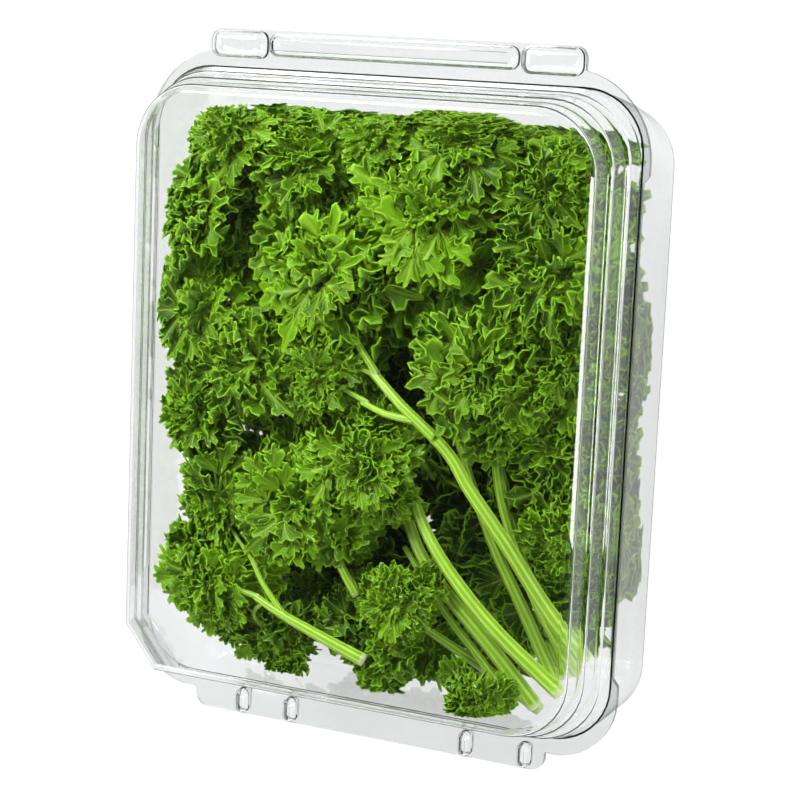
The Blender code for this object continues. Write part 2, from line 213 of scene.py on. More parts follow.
def form_sheet(name, wall, side, floor_ribs=()):
    """One half of the clamshell from one sheet. side is +1 for the lid, whose
    cup and pressings stand up, and -1 for the tray."""
    rim_z = PARTING_Z + side * (FLANGE_GAP + SHEET) / 2
    cup = wall_outlines(wall, rim_z, end_inset=PANEL_INSET)
    beads = [pressing_outlines(*p, rim_z, side * PRESSING_RISE)
             for p in HINGE_BEADS + SNAP_BUTTONS]
    ribs = [pressing_outlines(*p, cup[-1][0][2], -side * RIB_RISE) for p in floor_ribs]
    bm = bmesh.new()

    def add_ring(points):
        return [bm.verts.new(p) for p in points]

    def fill_between(rings):
        edges = [bm.edges.get((a, b)) or bm.edges.new((a, b))
                 for ring in rings for a, b in zip(ring, ring[1:] + ring[:1])]
        bmesh.ops.triangle_fill(bm, edges=edges, use_beauty=True)

    def loft(ring, outlines):
        for points in outlines[1:]:
            upper = add_ring(points)
            for i in range(len(ring)):
                bm.faces.new((ring[i - 1], ring[i], upper[i], upper[i - 1]))
            ring = upper
        return ring

    feet = [add_ring(outlines[0]) for outlines in [cup] + beads]
    fill_between([add_ring([(x, y, rim_z) for x, y in flange_outline()])] + feet)
    panel = loft(feet[0], cup)
    for ring, outlines in zip(feet[1:], beads):
        bm.faces.new(loft(ring, outlines))
    rib_feet = [add_ring(outlines[0]) for outlines in ribs]
    if ribs:
        fill_between([panel] + rib_feet)
    else:
        bm.faces.new(panel)
    for ring, outlines in zip(rib_feet, ribs):
        bm.faces.new(loft(ring, outlines))
    bmesh.ops.recalc_face_normals(bm, faces=bm.faces)
    bmesh.ops.scale(bm, vec=(MM, MM, MM), verts=bm.verts)
    mesh = bpy.data.meshes.new(name)
    bm.to_mesh(mesh)
    bm.free()
    sheet = bpy.data.objects.new(name, mesh)
    bpy.context.scene.collection.objects.link(sheet)
    bpy.context.view_layer.objects.active = sheet
    sheet.select_set(True)
    wall_thickness = sheet.modifiers.new("sheet", "SOLIDIFY")
    wall_thickness.thickness = SHEET * MM
    wall_thickness.offset = 0.0
    wall_thickness.use_even_offset = True
    bpy.ops.object.modifier_apply(modifier="sheet")
    bpy.ops.object.shade_smooth_by_angle(angle=SMOOTH_ANGLE)
    sheet.select_set(False)
    return sheet


# Clear PET, thermoformed: glass-clear and glossy, with a faint grey cast in the
# sheet and a slow waviness of about 14 mm that bends the highlights.
pet, tree = new_material("thermoformed_clear_pet")
place = add_node(tree, "TexCoord").outputs["Object"]
wave = add_node(tree, "TexNoise", {"Vector": place, "Scale": 1 / (14 * MM), "Detail": 1.0})
bend = add_node(tree, "Bump", {"Height": wave.outputs[0], "Strength": 0.12, "Distance": 0.2 * MM})
skin = add_node(tree, "BsdfPrincipled", {
    "Base Color": colour("#f7f8f8"), "Roughness": 0.02, "IOR": 1.57,
    "Transmission Weight": 1.0, "Normal": bend.outputs[0]})
# Lamps shine through the sheet instead of leaving a black shadow under it.
lamp_path = add_node(tree, "BsdfTransparent", {"Color": colour("#eef1f1")})
ray = add_node(tree, "LightPath")
through = add_node(tree, "MixShader", {
    0: ray.outputs["Is Shadow Ray"], 1: skin.outputs[0], 2: lamp_path.outputs[0]})
add_node(tree, "OutputMaterial", {"Surface": through.outputs[0]})

tray = form_sheet("base_tray", TRAY_WALL, -1, FLOOR_RIBS)
tray.data.materials.append(pet)
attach(tray, "tray")
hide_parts("clamshell_base")


# ----------------------------------------------------------------- stems
# Fourteen parsley stems, cut straight across at one end, that fan in from the
# corner of the tray and run under the leaves. A fresh stem is solid, has about
# seven raised ribs, and is paler on the ribs and at the cut.

STEMS = (
    ("stem_01", 2.1, [(51, -83, 26), (40, -68, 31), (20, -47, 33), (10, -33, 29),
                      (2, -18, 25)], []),
    ("stem_02", 2.0, [(61, -76, 33), (41, -58, 38), (24, -40, 38), (13, -25, 33),
                      (6, -12, 27)], []),
    ("stem_03", 2.1, [(65, -67, 27), (55, -52, 33), (45, -34, 40), (35, -20, 43), (28, -10, 44),
                      (14, 1, 44), (3, 9, 41)],
     [[(20, -3, 44), (10, -2, 44.5), (1, 0, 42)]]),
    ("stem_04", 1.9, [(61, -73, 21), (51, -54, 26.5), (44, -38, 29), (38, -22, 29),
                      (35, -8, 27)], []),
    ("stem_05", 1.8, [(53, -80, 15), (43, -58, 19), (34, -40, 21.5), (27, -24, 22),
                      (21, -9, 22)], []),
    ("stem_06", 1.6, [(53, -79, 8.5), (46, -62, 11), (37, -36, 14), (31, -14, 16),
                      (27, 4, 18)], []),
    ("stem_07", 1.7, [(50, -86, 19.5), (37, -76, 25), (25, -68, 30), (15, -62, 33)], []),
    ("stem_08", 1.3, [(45, -84, 26.5), (35, -71, 29.5), (23, -58, 30.5), (9, -43, 27)], []),
    ("stem_09", 1.9, [(58, -70, 11), (53, -50, 16), (47, -30, 22), (48, -12, 25), (52, 8, 25.5),
                      (50, 26, 25)], []),
    ("stem_10", 1.7, [(4, -74, 40), (-8, -69, 42), (-20, -64, 43.5), (-30, -60, 43)],
     [[(-20, -64, 43.5), (-27, -56, 43.5), (-31, -50, 43)]]),
    ("stem_11", 1.4, [(0, -56, 38), (-5, -48, 39), (-9, -40, 38)], []),
    ("stem_12", 1.7, [(46, -72, 4.5), (22, -40, 8), (2, -6, 23), (-12, 20, 25),
                      (-20, 44, 25)], []),
    ("stem_13", 1.6, [(40, -78, 3.6), (12, -50, 6.5), (-16, -24, 22), (-36, 6, 25),
                      (-44, 30, 25)], []),
    ("stem_14", 1.6, [(60, -58, 4.2), (38, -20, 8.5), (26, 20, 23.5), (26, 48, 25)], []),
)
STEM_RIBS = 7
STEM_SIDES = 28
STEM_SPAN_STEPS = 9
RIB_DEPTH = 0.11       # of the radius
STEM_TAPER = 0.62      # radius at the leaf end, of that at the cut
BRANCH_RADII = (0.55, 0.4)
STEM_FULLNESS = 1.16   # the crests of the ribs stand outside the plain tube
# The cut end, from its middle: (share of the radius, how deep it is dished).
CUT_END = ((0.0, 0.45), (0.42, 0.35), (0.78, 0.0), (0.96, 0.0))
TIP_SHARES = (0.7, 0.0)    # of the radius, closing the far end
TIP_REACH = 0.5            # of the radius, past the end of the route
CREST_WIDTH = 0.6          # below 1, the crests are wider than the grooves
# Twigs that carry a stem on to its leaves: (stem, start radius, route).
TWIGS = (
    ("stem_03", 1.25, [(5, 8, 41.5), (-2, 17, 41.5), (-7, 26, 41), (-12, 36, 42)]),
    ("stem_03", 0.85, [(3, 0, 42.2), (-4, 3, 42.6), (-12, 6, 43)]),
    ("stem_03", 0.8, [(4, 8, 41.5), (-3, 10, 42.5), (-12, 8, 43)]),
    ("stem_10", 0.95, [(-29, -60, 43), (-38, -58.5, 43), (-46, -57, 42)]),
    ("stem_10", 0.7, [(-30, -51, 43), (-37, -44, 42), (-45, -36, 40)]),
    ("stem_10", 0.7, [(-27, -61, 43), (-32, -66, 40), (-30, -72, 36)]),
    ("stem_11", 0.8, [(-8, -42, 38), (-14, -36, 40.5), (-18, -32, 43)]),
)


def smooth_route(points, per_span):
    """Points along a Catmull-Rom curve through the route's own points."""
    route = [Vector(p) for p in points]
    route = [2 * route[0] - route[1]] + route + [2 * route[-1] - route[-2]]
    smooth = []
    for a, b, c, d in zip(route, route[1:], route[2:], route[3:]):
        for step in range(per_span):
            t = step / per_span
            smooth.append(0.5 * (2 * b + (c - a) * t + (2 * a - 5 * b + 4 * c - d) * t ** 2
                                 + (3 * b - a - 3 * c + d) * t ** 3))
    smooth.append(route[-2])
    return smooth


def grow_stem(bm, route, start_radius, end_radius, layers):
    """Adds a ribbed, tapering stem with a dished cut end and a rounded tip."""
    uv_layer, cut_layer = layers
    centres = smooth_route(route, STEM_SPAN_STEPS)
    rows = [(centres[0], share, dish, 0) for share, dish in CUT_END]
    rows += [(c, 1.0, 0.0, i) for i, c in enumerate(centres) if i > 0]
    rows += [(centres[-1], share, 0.0, len(centres) - 1) for share in TIP_SHARES]
    first = (centres[1] - centres[0]).normalized()
    side = first.cross(Vector((0, 0, 1))).normalized()
    rings, lengths, travelled = [], [], 0.0
    for row, (centre, share, dish, i) in enumerate(rows):
        ahead = centres[min(i + 1, len(centres) - 1)]
        behind = centres[max(i - 1, 0)]
        along = (ahead - behind).normalized()
        side = (side - along * side.dot(along)).normalized()
        up = side.cross(along)
        radius = start_radius + (end_radius - start_radius) * i / (len(centres) - 1)
        if rings:
            travelled += (centre - rows[row - 1][0]).length
        shift = along * dish
        if row == len(rows) - 1:
            shift = along * radius * TIP_REACH
        if share == 0.0:
            rings.append([bm.verts.new(centre + shift)])
        else:
            ring = []
            for k in range(STEM_SIDES):
                angle = 2 * math.pi * k / STEM_SIDES
                depth = (0.5 - 0.5 * math.cos(STEM_RIBS * angle)) ** CREST_WIDTH
                groove = 1 - RIB_DEPTH * depth
                reach = radius * share * (groove if share > 0.9 else 1 - RIB_DEPTH * 0.4)
                ring.append(bm.verts.new(
                    centre + shift + (side * math.cos(angle) + up * math.sin(angle)) * reach))
            rings.append(ring)
        for vert in rings[-1]:
            vert[cut_layer] = 1.0 if row < len(CUT_END) else 0.0
        lengths.append(travelled)
    for row, (lower, upper) in enumerate(zip(rings, rings[1:])):
        for k in range(STEM_SIDES):
            j = (k + 1) % STEM_SIDES
            around = (k / STEM_SIDES, (k + 1) / STEM_SIDES)
            if len(lower) == 1:
                corners = [(lower[0], around[0], row), (upper[j], around[1], row + 1),
                           (upper[k], around[0], row + 1)]
            elif len(upper) == 1:
                corners = [(lower[k], around[0], row), (lower[j], around[1], row),
                           (upper[0], around[0], row + 1)]
            else:
                corners = [(lower[k], around[0], row), (lower[j], around[1], row),
                           (upper[j], around[1], row + 1), (upper[k], around[0], row + 1)]
            face = bm.faces.new([c[0] for c in corners])
            for loop, (_, u, r) in zip(face.loops, corners):
                loop[uv_layer].uv = (u, lengths[r] / 100)


# Fresh stem skin: waxy and ribbed, yellow-green, with pale lines along the
# ribs, long darker streaks between them and a wet, nearly white cut.
stalk, tree = new_material("fresh_parsley_stem")
place = add_node(tree, "UVMap").outputs[0]
parts = add_node(tree, "SeparateXYZ", {0: place})
turns = add_node(tree, "Math", {0: parts.outputs[0], 1: 2 * math.pi * STEM_RIBS},
                 operation="MULTIPLY")
crest = add_node(tree, "Math", {0: turns.outputs[0]}, operation="COSINE")
on_rib = add_node(tree, "MapRange", {0: crest.outputs[0], 1: -0.6, 2: 1.0},
                  interpolation_type="SMOOTHSTEP")
stretch = add_node(tree, "Mapping", {0: place, 3: (26.0, 9.0, 1.0)})
streak = add_node(tree, "TexNoise", {"Vector": stretch.outputs[0], "Scale": 1.0, "Detail": 3.0})
ribbed = add_node(tree, "Mix", {0: on_rib.outputs[0], 6: colour("#6c991c"), 7: colour("#bddb5c")},
                  data_type="RGBA")
streaked = add_node(tree, "Mix", {0: streak.outputs[0], 6: ribbed.outputs[2],
                                  7: colour("#97c233")}, data_type="RGBA")
cut = add_node(tree, "Attribute", attribute_name="cut")
skinned = add_node(tree, "Mix", {0: cut.outputs["Fac"], 6: streaked.outputs[2],
                                 7: colour("#dfeab8")}, data_type="RGBA")
grain = add_node(tree, "Bump", {"Height": streak.outputs[0], "Strength": 0.35,
                                "Distance": 0.15 * MM})
skin = add_node(tree, "BsdfPrincipled", {
    "Base Color": skinned.outputs[2], "Roughness": 0.38, "IOR": 1.42,
    "Subsurface Weight": 0.25, "Subsurface Radius": (1.0, 1.2, 0.3),
    "Subsurface Scale": 1.2 * MM, "Normal": grain.outputs[0]})
add_node(tree, "OutputMaterial", {"Surface": skin.outputs[0]})

for name, radius, route, branches in STEMS:
    bm = bmesh.new()
    layers = (bm.loops.layers.uv.new("UVMap"), bm.verts.layers.float.new("cut"))
    grow_stem(bm, route, radius * STEM_FULLNESS, radius * STEM_TAPER, layers)
    for branch in branches:
        grow_stem(bm, branch, radius * BRANCH_RADII[0], radius * BRANCH_RADII[1], layers)
    for owner, thickness, twig in TWIGS:
        if owner == name:
            grow_stem(bm, twig, thickness, thickness * STEM_TAPER, layers)
    bmesh.ops.recalc_face_normals(bm, faces=bm.faces)
    bmesh.ops.scale(bm, vec=(MM, MM, MM), verts=bm.verts)
    mesh = bpy.data.meshes.new("ribbed_" + name)
    bm.to_mesh(mesh)
    bm.free()
    mesh.shade_smooth()
    mesh.materials.append(stalk)
    stem = bpy.data.objects.new("ribbed_" + name, mesh)
    bpy.context.scene.collection.objects.link(stem)
    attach(stem, "tray")
    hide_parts(name)


# ------------------------------------------------------------ leaf heads
# The leaves grow in heads, each a crowd of rosettes. A rosette is a ring of
# leaflets on short stalks: a fan of three toothed lobes, about 15 mm long and
# as thin as paper, whose margin is longer than it has room for and so crimps.

# (x, y, z, radius, flatness, curliness, shade_and_tone) of each head, upper layer
# first. The last ten lie under them on the floor of the tray. The last column
# sets how dark a head's green is: partly its own tone, mostly painted shade,
# darker for heads that lie deeper and near-black for the lower layer.
HEADS = (
    (-42, 70, 38, 15, 0.75, 0.5, 0.45), (-20, 66, 36, 17, 0.75, 0.35, 0.5),
    (2, 72, 36, 13, 0.75, 0.35, 0.5), (28, 74, 36, 16, 0.75, 0.4, 0.5),
    (50, 62, 34, 14, 0.75, 0.85, 0.4), (-54, 46, 35, 16, 0.75, 0.8, 0.4),
    (19, 54, 39, 21, 0.6, 0.45, 0.75), (53, 41, 35, 17, 0.75, 0.8, 0.45),
    (-12, 36, 39, 22, 0.6, 0.35, 0.7), (-53, 20, 34, 18, 0.75, 0.7, 0.45),
    (-36, 6, 37, 16, 0.75, 0.6, 0.4), (36, 12, 40, 19, 0.6, 0.85, 0.5),
    (58, 14, 33, 14, 0.8, 0.9, 0.3), (-53, -10, 34, 15, 0.8, 0.6, 0.45),
    (-46, -34, 35, 16, 0.75, 0.3, 0.5), (-18, -32, 39, 17, 0.65, 0.4, 0.55),
    (-12, 6, 40, 13, 0.75, 0.4, 0.6), (2, -18, 40, 16, 0.6, 0.45, 0.6),
    (-46, -58, 38, 16, 0.7, 0.5, 0.65), (-28, -72, 30, 14, 0.8, 0.7, 0.45),
    (0, -68, 27, 15, 0.8, 0.8, 0.35), (14, -56, 40, 11, 0.8, 0.6, 0.5),
    (60, -32, 30, 13, 0.8, 0.85, 0.3), (38, -80, 38, 9, 0.8, 0.5, 0.5),
    # The lower layer's 0.05 is painted shade: these heads sit in the dark under the upper ones.
    (-52, 58, 13, 22, 0.6, 0.5, 0.05), (-12, 60, 12, 26, 0.5, 0.5, 0.05),
    (36, 60, 12, 26, 0.5, 0.5, 0.05), (-50, 8, 12, 24, 0.5, 0.5, 0.05),
    (-8, 16, 12, 24, 0.5, 0.5, 0.05), (50, 12, 11, 22, 0.5, 0.5, 0.05),
    (-46, -48, 13, 24, 0.6, 0.5, 0.05), (-12, -62, 13, 20, 0.6, 0.5, 0.05),
    (14, -14, 13, 18, 0.55, 0.5, 0.05), (60, -36, 12, 14, 0.8, 0.5, 0.05),
)
UPPER_HEADS = 24
LOBES = 3              # of each leaflet
LOBE_CENTRE = 0.68     # of each lobe, from the stalk, of the leaflet's length
LOBE_RADIUS = 0.34
LOBE_SWEEP = 2.35      # how far the teeth go round each side of a lobe
GAP_REACH = 0.32       # how deep the leaflet is cut between its lobes
FRILLS_PER_TOOTH = 0.37
LOBE_FLARE = 0.22      # a lobe's sides lie this much nearer its centre than its tip
GAP_SHARPNESS = 7      # power of the curve by which the margin turns into a gap
TOOTH_ROUNDNESS = 0.75
TOOTH_STEPS = 3        # faces across a tooth
BASE_WIDTH, NECK_WIDTH = 0.05, 0.06  # at the stalk and at a lobe's neck
CURL_START = 0.35      # how far out the blade lies flat
CRIMP_WAVES = 1.7
LOBE_CUP = 0.1
random.seed(41)


def leaflet_blank(name, rows, seed, teeth, tooth_depth, fan, curl, crimp, frill):
    """One leaflet, 1 long from its stalk to its tip, its top facing +Z: a grid
    drawn out into three narrow-necked lobes with so many teeth round each,
    crimped over its width and frilled at its margin."""
    draw = random.Random(seed)
    all_teeth = LOBES * teeth
    bpy.ops.mesh.primitive_grid_add(x_subdivisions=all_teeth * TOOTH_STEPS,
                                    y_subdivisions=len(rows) - 1, size=1.0, calc_uvs=True)
    blade = bpy.context.object
    blade.name = name
    phases = [draw.uniform(0, 2 * math.pi) for _ in range(3)]
    lobe_reach = np.array([draw.uniform(0.78, 0.92), 1.0, draw.uniform(0.78, 0.92)])
    lobe_lift = np.array([draw.uniform(-0.14, 0.2) for _ in range(LOBES)])
    tooth_reach = np.array([draw.uniform(0.75, 1.25) for _ in range(all_teeth)])
    co = np.array([v.co for v in blade.data.vertices])
    across = co[:, 0] * 2
    row = np.rint((co[:, 1] + 0.5) * (len(rows) - 1)).astype(int)
    lobe_at = np.clip((across + 1) / 2 * LOBES, 0, LOBES - 1e-6)
    lobe = np.floor(lobe_at).astype(int)
    off = 2 * (lobe_at - lobe) - 1
    tooth_at = np.clip((across + 1) / 2 * all_teeth + 1e-6, 0, all_teeth)
    tooth = tooth_at - np.floor(tooth_at)
    size = tooth_reach[np.minimum(tooth_at.astype(int), all_teeth - 1)]
    bump = np.sin(math.pi * tooth) ** TOOTH_ROUNDNESS * size
    # Round each lobe the margin runs from one gap over the teeth to the next.
    reach = lobe_reach[lobe]
    heading = (lobe - 1) * fan * 2 / LOBES
    round_lobe = heading + off * LOBE_SWEEP
    lobe_radius = LOBE_RADIUS * (1 - LOBE_FLARE * np.abs(off)) * (1 + tooth_depth * (bump - 0.5))
    margin_x = reach * LOBE_CENTRE * np.sin(heading) + lobe_radius * np.sin(round_lobe)
    margin_y = reach * LOBE_CENTRE * np.cos(heading) + lobe_radius * np.cos(round_lobe)
    gap_way = heading + np.sign(off) * fan / LOBES
    in_gap = np.abs(off) ** GAP_SHARPNESS
    margin_x += in_gap * (GAP_REACH * np.sin(gap_way) - margin_x)
    margin_y += in_gap * (GAP_REACH * np.cos(gap_way) - margin_y)
    towards = heading + off ** 3 * fan / LOBES
    neck = reach * (1 - in_gap) * 0.5 + in_gap * GAP_REACH * 0.5
    neck_x = neck * np.sin(towards) + NECK_WIDTH * off * np.cos(heading)
    neck_y = neck * np.cos(towards)

    def plan(out):
        # Each column of the grid curves from the stalk past the neck to the margin.
        bow = 2 * out * (1 - out)
        x = (1 - out) ** 2 * BASE_WIDTH * across + bow * neck_x + out ** 2 * margin_x
        return np.stack([x, bow * neck_y + out ** 2 * margin_y], axis=1)

    # Walk out from the stalk row by row, turning up as the margin curls.
    ripple = np.sin(across * math.pi * all_teeth * FRILLS_PER_TOOTH + phases[0])
    wave = np.sin(across * math.pi * CRIMP_WAVES + phases[1])
    flat, height = plan(rows[0]), np.zeros(len(co))
    for lower, upper in zip(range(len(rows) - 1), range(1, len(rows))):
        middle = (rows[lower] + rows[upper]) / 2
        rise = max(0.0, middle - CURL_START) / (1 - CURL_START)
        turn = curl * rise ** 1.5 + crimp * rise * wave + frill * rise ** 1.5 * ripple
        step = plan(rows[upper]) - plan(rows[lower])
        passed = row >= upper
        flat += np.where(passed, np.cos(turn), 0)[:, None] * step
        height += np.where(passed, np.sin(turn), 0) * np.hypot(step[:, 0], step[:, 1])
    out = np.array(rows)[row]
    height += lobe_lift[lobe] * (1 - off ** 4) * out ** 1.8
    height -= LOBE_CUP * (1 - np.abs(off)) * out * (1 - out)
    for vert, place in zip(blade.data.vertices, zip(flat[:, 0], flat[:, 1], height)):
        vert.co = place
    return blade


def take_apart(blade, thickness):
    """Thickens a blade and returns its points, quads, UVs and underside mask."""
    top_count = len(blade.data.vertices)
    leaf = blade.modifiers.new("leaf", "SOLIDIFY")
    leaf.thickness = thickness
    leaf.offset = -1.0
    bpy.ops.object.modifier_apply(modifier="leaf")
    mesh = blade.data
    points = np.array([v.co for v in mesh.vertices])
    quads = np.array([list(p.vertices) for p in mesh.polygons])
    uvs = np.array([d.uv for d in mesh.uv_layers[0].data]).reshape(len(quads), 4, 2)
    under = (np.arange(len(points)) >= top_count).astype(float)
    bpy.data.objects.remove(blade, do_unlink=True)
    return points, quads, uvs, under


# Rows of a blade's grid, from its stalk to its margin, and the kinds of leaflet:
# how many of each, rows, teeth round a lobe, tooth depth, half the fan's angle,
# least curl and its step, crimp, frill and thickness, in leaflet lengths.
FINE_ROWS = (0.0, 0.3, 0.54, 0.74, 0.88, 1.0)
PLAIN_ROWS = (0.0, 0.45, 0.78, 1.0)
HIDDEN_ROWS = (0.0, 0.6, 1.0)
LEAFLETS = {
    "open": (6, FINE_ROWS, 7, 0.6, 1.3, 0.05, 0.1, 0.25, 0.4, 0.02),
    "curly": (6, FINE_ROWS, 7, 0.58, 1.45, 0.3, 0.2, 0.35, 0.8, 0.022),
    "small": (6, PLAIN_ROWS, 4, 0.7, 1.35, 0.1, 0.2, 0.28, 0.5, 0.03),
    "hidden": (3, HIDDEN_ROWS, 3, 0.55, 1.3, 0.3, 0.0, 0.3, 0.4, 0.03),
}
BLANKS = {}
for number, (kind, settings) in enumerate(LEAFLETS.items(), 1):
    count, rows, teeth, tooth_depth, fan, curl, curl_step, crimp, frill, thickness = settings
    BLANKS[kind] = [
        take_apart(leaflet_blank(kind + "_leaflet", rows, 100 * number + k, teeth, tooth_depth,
                                 fan, curl + curl_step * k, crimp, frill), thickness)
        for k in range(count)]

# The stalk of a leaflet, from -1 to 0 along Y and six-sided.
bpy.ops.mesh.primitive_cylinder_add(vertices=6, radius=1.0, depth=1.0, end_fill_type="NGON",
                                    location=(0, -0.5, 0), rotation=(math.pi / 2, 0, 0))
bpy.ops.object.transform_apply(location=True, rotation=True, scale=True)
stalk_object = bpy.context.object
stalk_points = np.array([v.co for v in stalk_object.data.vertices])
stalk_quads = []
for polygon in stalk_object.data.polygons:
    ring = list(polygon.vertices)
    stalk_quads += [ring] if len(ring) == 4 else [ring[:4], ring[3:] + ring[:1]]
stalk_quads = np.array(stalk_quads)
bpy.data.objects.remove(stalk_object, do_unlink=True)


# Where the leaves stop short of the sheet, at the flange, and how much sooner
# they stop at the lid's top. The corner is a limit on |x| + |y|.
LEAF_STOPS = {"side": 71.2, "back": 83.5, "front": 88.0, "corner": 146.0}
LEAF_LEANS = {"side": 4.6, "back": 2.5, "front": 4.2, "corner": 5.0}
BACK_STOP_LOW = 79.5   # at the floor of the tray
LID_DEPTH = 21.0
LEAF_FLOOR, UPPER_TOP, LOWER_TOP = 1.1, 50.2, 26.0


def soft_limit(value, limit, room=5.0):
    """value eased to stay below limit, starting room before it."""
    start = limit - room
    over = np.maximum(value - start, 0)
    return np.where(value > start, start + room * (1 - np.exp(-over / room)), value)


def press_in(points, top_z):
    """Presses leaves back inside the shut clamshell, as the lid and walls do."""
    x, y, z = points.T.copy()
    z = soft_limit(z, top_z)
    z = -soft_limit(-z, -LEAF_FLOOR, 3.0)
    above = np.clip((z - PARTING_Z) / LID_DEPTH, 0, 1)
    below = np.clip(z / PARTING_Z, 0, 1)
    side, back, front, corner = (LEAF_STOPS[k] - LEAF_LEANS[k] * above for k in LEAF_STOPS)
    back_low = BACK_STOP_LOW + (LEAF_STOPS["back"] - BACK_STOP_LOW) * below
    back = np.where(z < PARTING_Z, back_low, back)
    x = np.sign(x) * soft_limit(np.abs(x), side)
    y = np.where(y > 0, soft_limit(y, back, 14.0), -soft_limit(-y, front))
    diagonal = np.abs(x) + np.abs(y)
    pull = (diagonal - soft_limit(diagonal, corner)) / 2
    x = np.sign(x) * (np.abs(x) - pull)
    y = np.sign(y) * (np.abs(y) - pull)
    return np.stack([x, y, z], axis=1)


def frame_towards(normal, spin):
    """Rotation whose Z is normal, turned by spin about it."""
    normal = Vector(normal).normalized()
    return np.array(normal.to_track_quat("Z", "Y").to_matrix()
                    @ Matrix.Rotation(spin, 3, "Z"))


# How far the leaflets of a ring differ from one another.
SIZE_RANGE, WIDTH_RANGE = (0.85, 1.15), (0.85, 1.1)
PLACE_SPREAD = 0.28    # of the space between two leaflets
LIFT_SPREAD = 20       # degrees
DROOP_SPREAD, TWIST_SPREAD, TINT_SPREAD = 0.25, 0.5, 0.28
STALK_HALF_X, STALK_HALF_Z = 0.55, 0.5
STALK_UNDER = 0.22     # how far the stalk runs on under the blade, of its length
STALK_DROP = 0.35      # how far its middle lies below the blade
STALK_TIP = 0.6        # its width under the blade, of its width before it


def add_rosette(parts, centre, normal, radius, rings, kinds, shade_and_tone):
    """Adds a rosette's leaflets and stalks to parts. Each ring is (leaflets,
    length of a leaflet, foot distance, lift in degrees, droop), in radii."""
    spin = random.uniform(0, 2 * math.pi)
    turned = frame_towards(normal, spin)
    for count, length, foot, lift, droop in rings:
        for k in range(count):
            points, quads, uvs, under = random.choice(BLANKS[random.choice(kinds)])
            size = radius * length * random.uniform(*SIZE_RANGE)
            place = k + random.uniform(-PLACE_SPREAD, PLACE_SPREAD)
            around = 2 * math.pi * place / count
            tilt = math.radians(lift + random.uniform(-LIFT_SPREAD, LIFT_SPREAD))
            bow = droop + random.uniform(-DROOP_SPREAD, DROOP_SPREAD)
            width = random.uniform(*WIDTH_RANGE)
            twist = random.uniform(-TWIST_SPREAD, TWIST_SPREAD)
            base = radius * foot
            # Painted shade and tone: the head's value, varied a little per leaflet, later sets
            # how dark its green is.
            painted_shade_and_tone = shade_and_tone + random.uniform(-TINT_SPREAD, TINT_SPREAD)
            painted_shade_and_tone = min(max(painted_shade_and_tone, 0), 1)
            blade = points * (size * width, size, size)
            cosine, sine = math.cos(twist), math.sin(twist)
            blade = np.stack([blade[:, 0] * cosine - blade[:, 2] * sine, blade[:, 1],
                              blade[:, 0] * sine + blade[:, 2] * cosine], axis=1)
            blade[:, 1] += base
            stalk_end = base + size * STALK_UNDER
            stem = stalk_points * (STALK_HALF_X, stalk_end, STALK_HALF_Z)
            stem[:, 1] += stalk_end
            stem[:, 2] -= STALK_DROP
            stem[:, (0, 2)] *= np.where(stem[:, 1:2] > base, STALK_TIP, 1.0)
            for shape, faces, coords, below, is_stalk in (
                    (blade, quads, uvs, under, 0.0),
                    (stem, stalk_quads, np.full((len(stalk_quads), 4, 2), 0.5),
                     np.zeros(len(stem)), 1.0)):
                # Bow the leaflet over its length, lift it, swing it into place.
                reach = max(base + size, 1e-6)
                arc = bow / reach
                y, z = shape[:, 1], shape[:, 2]
                turn = -arc * y
                along = -np.sin(turn) / arc if abs(arc) > 1e-6 else y
                drop = -(1 - np.cos(turn)) / arc if abs(arc) > 1e-6 else 0 * y
                bowed = np.stack([shape[:, 0], along + z * np.sin(turn),
                                  drop + z * np.cos(turn)], axis=1)
                swing = Matrix.Rotation(around, 3, "Z") @ Matrix.Rotation(tilt, 3, "X")
                placed = bowed @ (turned @ np.array(swing)).T + np.array(centre)
                parts.append((placed, faces, coords, below, painted_shade_and_tone, is_stalk))


def leaf_mesh(name, parts, top_z):
    """Joins the parts of a head into one mesh, pressed inside the clamshell."""
    points = press_in(np.concatenate([p[0] for p in parts]), top_z) * MM
    offsets = np.cumsum([0] + [len(p[0]) for p in parts[:-1]])
    quads = np.concatenate([p[1] + offset for p, offset in zip(parts, offsets)])
    uvs = np.concatenate([p[2] for p in parts])
    mesh = bpy.data.meshes.new(name)
    mesh.vertices.add(len(points))
    mesh.vertices.foreach_set("co", points.astype(np.float32).ravel())
    mesh.loops.add(quads.size)
    mesh.loops.foreach_set("vertex_index", quads.astype(np.int32).ravel())
    mesh.polygons.add(len(quads))
    mesh.polygons.foreach_set("loop_start", np.arange(0, quads.size, 4, dtype=np.int32))
    mesh.update(calc_edges=True)
    layer = mesh.uv_layers.new(name="UVMap")
    layer.data.foreach_set("uv", uvs.astype(np.float32).ravel())
    for label, values in (("under", np.concatenate([p[3] for p in parts])),
                          ("painted_shade_and_tone", np.concatenate([np.full(len(p[0]), p[4]) for p in parts])),
                          ("stalk", np.concatenate([np.full(len(p[0]), p[5]) for p in parts]))):
        attribute = mesh.attributes.new(label, "FLOAT", "POINT")
        attribute.data.foreach_set("value", values.astype(np.float32))
    mesh.shade_smooth()
    mesh.validate()
    return mesh


